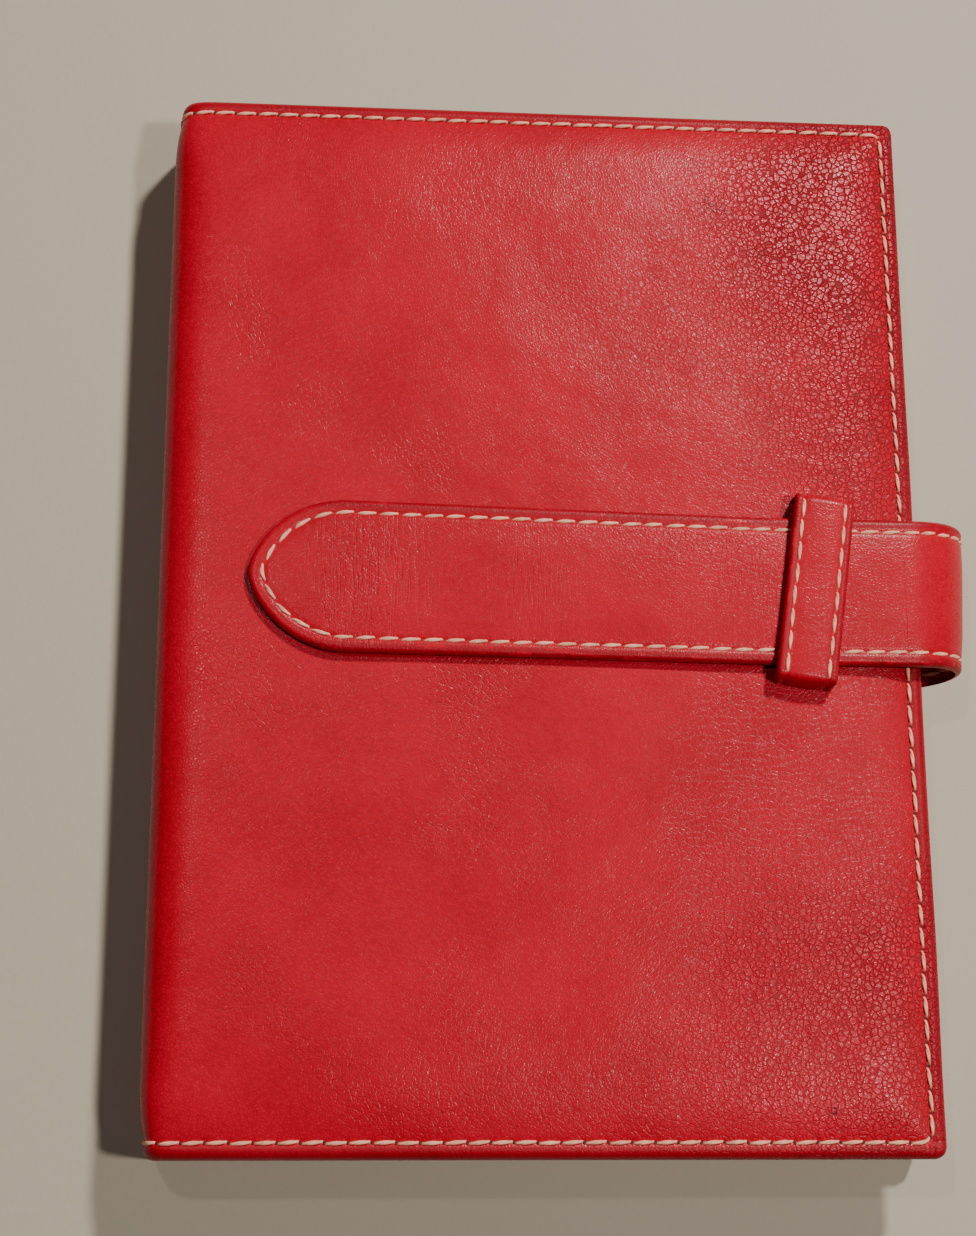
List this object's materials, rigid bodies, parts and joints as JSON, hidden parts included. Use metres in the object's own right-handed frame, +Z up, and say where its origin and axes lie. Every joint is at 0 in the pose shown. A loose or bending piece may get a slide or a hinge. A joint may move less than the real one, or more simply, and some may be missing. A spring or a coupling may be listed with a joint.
{
  "type": "leather notebook cover",
  "caption": "Padded leather notebook cover lying closed on its back, with a rounded spine, contrast seams, a wrap-over strap held by a sewn keeper, and a paper insert inside.",
  "frame": {"origin": "centre of the bounding box's base, on the table under the closed cover", "axes": "+Y along the spine towards the head, +X from the spine to the fore edge, +Z up through the closed thickness"},
  "size_m": [0.167, 0.22, 0.0305],
  "materials": {
    "red_leather": "satin pebbled grain",
    "pocket_leather": "satin",
    "strap_lining": "matte",
    "cover_lining": "matte suede",
    "thread": "waxed",
    "foam": "soft foam",
    "board": "matte",
    "paper": "matte",
    "card": "matte",
    "tape": "matte"
  },
  "bodies": {
    "back_cover": {"back_outer_leather": "red_leather", "back_foam": "foam", "back_board": "board", "back_lining": "cover_lining", "back_pocket_sleeve": "pocket_leather", "back_seam_thread": "thread", "spine_lining_back": "cover_lining", "strap_root_tongue": "red_leather", "notebook_back_card": "card", "page_section_3": "paper", "page_section_4": "paper", "notebook_tape_back": "tape"},
    "spine_low": {"spine_leather_low": "red_leather", "spine_lining_low": "cover_lining", "spine_thread_low_head": "thread", "spine_thread_low_tail": "thread"},
    "spine_high": {"spine_leather_high": "red_leather", "spine_lining_high": "cover_lining", "spine_thread_high_head": "thread", "spine_thread_high_tail": "thread"},
    "front_cover": {"front_outer_leather": "red_leather", "front_foam": "foam", "front_board": "board", "front_lining": "cover_lining", "front_pocket_sleeve": "pocket_leather", "front_seam_thread": "thread", "spine_lining_front": "cover_lining", "notebook_front_card": "card", "keeper_band": "red_leather", "keeper_lining": "strap_lining", "keeper_thread_left": "thread", "keeper_thread_right": "thread"},
    "leaves": {"page_section_1": "paper", "page_section_2": "paper", "notebook_tape_front": "tape"},
    "strap_low": {"strap_leather_low": "red_leather", "strap_lining_low": "strap_lining"},
    "strap_middle_1": {"strap_leather_middle_1": "red_leather", "strap_lining_middle_1": "strap_lining"},
    "strap_middle_2": {"strap_leather_middle_2": "red_leather", "strap_lining_middle_2": "strap_lining"},
    "strap_high": {"strap_leather_high": "red_leather", "strap_lining_high": "strap_lining"},
    "strap_tail": {"strap_tail_leather": "red_leather", "strap_tail_lining": "strap_lining", "strap_tail_thread": "thread"}
  },
  "joints": [
    {"name": "cover_open", "type": "hinge", "parent": "back_cover", "child": "spine_low", "pos_m": [-0.08159, 0, 0.00191], "axis": [0, -1, 0], "range_deg": [0, 74]},
    {"name": "spine_middle_fold", "type": "hinge", "parent": "spine_low", "child": "spine_high", "pos_m": [-0.0835, 0, 0.012], "axis": [0, -1, 0], "range_deg": [0, 29.6]},
    {"name": "cover_front_fold", "type": "hinge", "parent": "spine_high", "child": "front_cover", "pos_m": [-0.08159, 0, 0.02209], "axis": [0, -1, 0], "range_deg": [0, 74]},
    {"name": "leaves_turn", "type": "hinge", "parent": "back_cover", "child": "leaves", "pos_m": [-0.07762, 0, 0.012], "axis": [0, -1, 0], "range_deg": [0, 177.6]},
    {"name": "strap_slack", "type": "slide", "parent": "back_cover", "child": "strap_low", "axis": [1, 0, 0], "range_m": [0, 0.012], "deforming": ["strap_leather_low", "strap_lining_low"]},
    {"name": "strap_fold_1", "type": "hinge", "parent": "strap_low", "child": "strap_middle_1", "pos_m": [0.07771, 0.0022, 0.00418], "axis": [0, 1, 0], "range_deg": [0, 59.2], "deforming": ["strap_leather_middle_1", "strap_lining_middle_1"]},
    {"name": "strap_fold_2", "type": "hinge", "parent": "strap_middle_1", "child": "strap_middle_2", "pos_m": [0.0835, 0.0022, 0.015], "axis": [0, 1, 0], "range_deg": [0, 59.2], "deforming": ["strap_leather_middle_2", "strap_lining_middle_2"]},
    {"name": "strap_fold_3", "type": "hinge", "parent": "strap_middle_2", "child": "strap_high", "pos_m": [0.07725, 0.0022, 0.02484], "axis": [0, 1, 0], "range_deg": [0, 59.2], "deforming": ["strap_leather_high", "strap_lining_high"]},
    {"name": "strap_tail_slide", "type": "slide", "parent": "strap_high", "child": "strap_tail", "axis": [1, 0, 0], "range_m": [0, 0.012], "deforming": ["strap_tail_leather", "strap_tail_lining", "strap_tail_thread"]}
  ],
  "couplings": [
    {"joint": "spine_middle_fold", "follows": "cover_open", "ratio": 0.4},
    {"joint": "cover_front_fold", "follows": "cover_open", "ratio": 1},
    {"joint": "leaves_turn", "follows": "cover_open", "ratio": 2.4},
    {"joint": "strap_fold_1", "follows": "cover_open", "ratio": 0.8},
    {"joint": "strap_fold_2", "follows": "cover_open", "ratio": 0.8},
    {"joint": "strap_fold_3", "follows": "cover_open", "ratio": 0.8},
    {"joint": "strap_tail_slide", "follows": "strap_slack", "ratio": 1}
  ]
}
